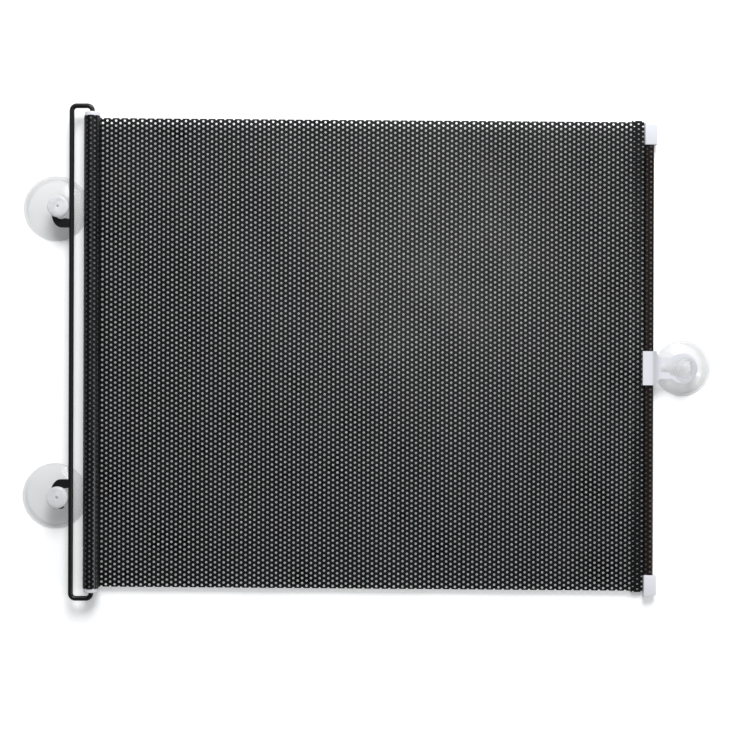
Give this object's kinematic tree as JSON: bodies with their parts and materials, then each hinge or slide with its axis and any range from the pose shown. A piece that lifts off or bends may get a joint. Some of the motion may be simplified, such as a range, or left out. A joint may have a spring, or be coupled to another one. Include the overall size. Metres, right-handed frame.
{
  "type": "car side window sunshade",
  "caption": "Roll-up side window sunshade: perforated black film on a spring roller in a wire bracket, pulled out by a hemmed bar and held on the glass by suction cups.",
  "frame": {"origin": "under the middle of the outline, in the plane of the cup rims", "axes": "+X the way the film is pulled out, +Y along the roller, +Z away from the glass"},
  "size_m": [0.5894, 0.4218, 0.0188],
  "materials": {
    "film": "calendered vinyl film, glossy black, perforated",
    "coated_wire": "black dip coating, satin",
    "clear_vinyl": "clear soft vinyl, moulded",
    "white_plastic": "moulded white, fine matt",
    "tube_plastic": "extruded, plain",
    "bar_plastic": "extruded, warm brown",
    "spring_steel": "drawn wire, bright",
    "natural_nylon": "moulded, natural"
  },
  "bodies": {
    "bracket": {"wire_bracket": "coated_wire", "cup_hook_upper": "coated_wire", "cup_hook_lower": "coated_wire", "spring_arbor": "natural_nylon", "torsion_spring": "spring_steel", "arbor_retainer": "spring_steel", "film_panel": "film"},
    "roller": {"roller_tube": "tube_plastic", "film_wound": "film", "end_plug_upper": "white_plastic", "end_plug_lower": "white_plastic", "spring_anchor": "natural_nylon"},
    "pull_end": {"film_hem": "film", "pull_bar": "bar_plastic", "bar_cap_upper": "white_plastic", "bar_cap_lower": "white_plastic", "pull_tab": "white_plastic"},
    "cup_upper": {"suction_cup_upper": "clear_vinyl"},
    "cup_lower": {"suction_cup_lower": "clear_vinyl"},
    "cup_pull": {"suction_cup_pull": "clear_vinyl"}
  },
  "joints": [
    {"name": "film_pull", "type": "slide", "parent": "bracket", "child": "pull_end", "axis": [1, 0, 0], "range_m": [-0.445, 0], "deforming": ["film_panel"]},
    {"name": "roller_turn", "type": "hinge", "parent": "bracket", "child": "roller", "pos_m": [-0.233, 0, 0.01175], "axis": [0, 1, 0], "range_deg": [0, 3620], "deforming": ["torsion_spring"]},
    {"name": "cup_upper_swivel", "type": "hinge", "parent": "bracket", "child": "cup_upper", "pos_m": [-0.261, 0.123, 0.01175], "axis": [0, 0, 1], "continuous": true},
    {"name": "cup_lower_swivel", "type": "hinge", "parent": "bracket", "child": "cup_lower", "pos_m": [-0.261, -0.123, 0.01175], "axis": [0, 0, 1], "continuous": true},
    {"name": "cup_pull_swivel", "type": "hinge", "parent": "pull_end", "child": "cup_pull", "pos_m": [0.2705, -0.012, 0.01175], "axis": [0, 0, 1], "continuous": true}
  ],
  "couplings": [
    {"joint": "roller_turn", "follows": "film_pull", "rad_per_m": -141.5}
  ]
}
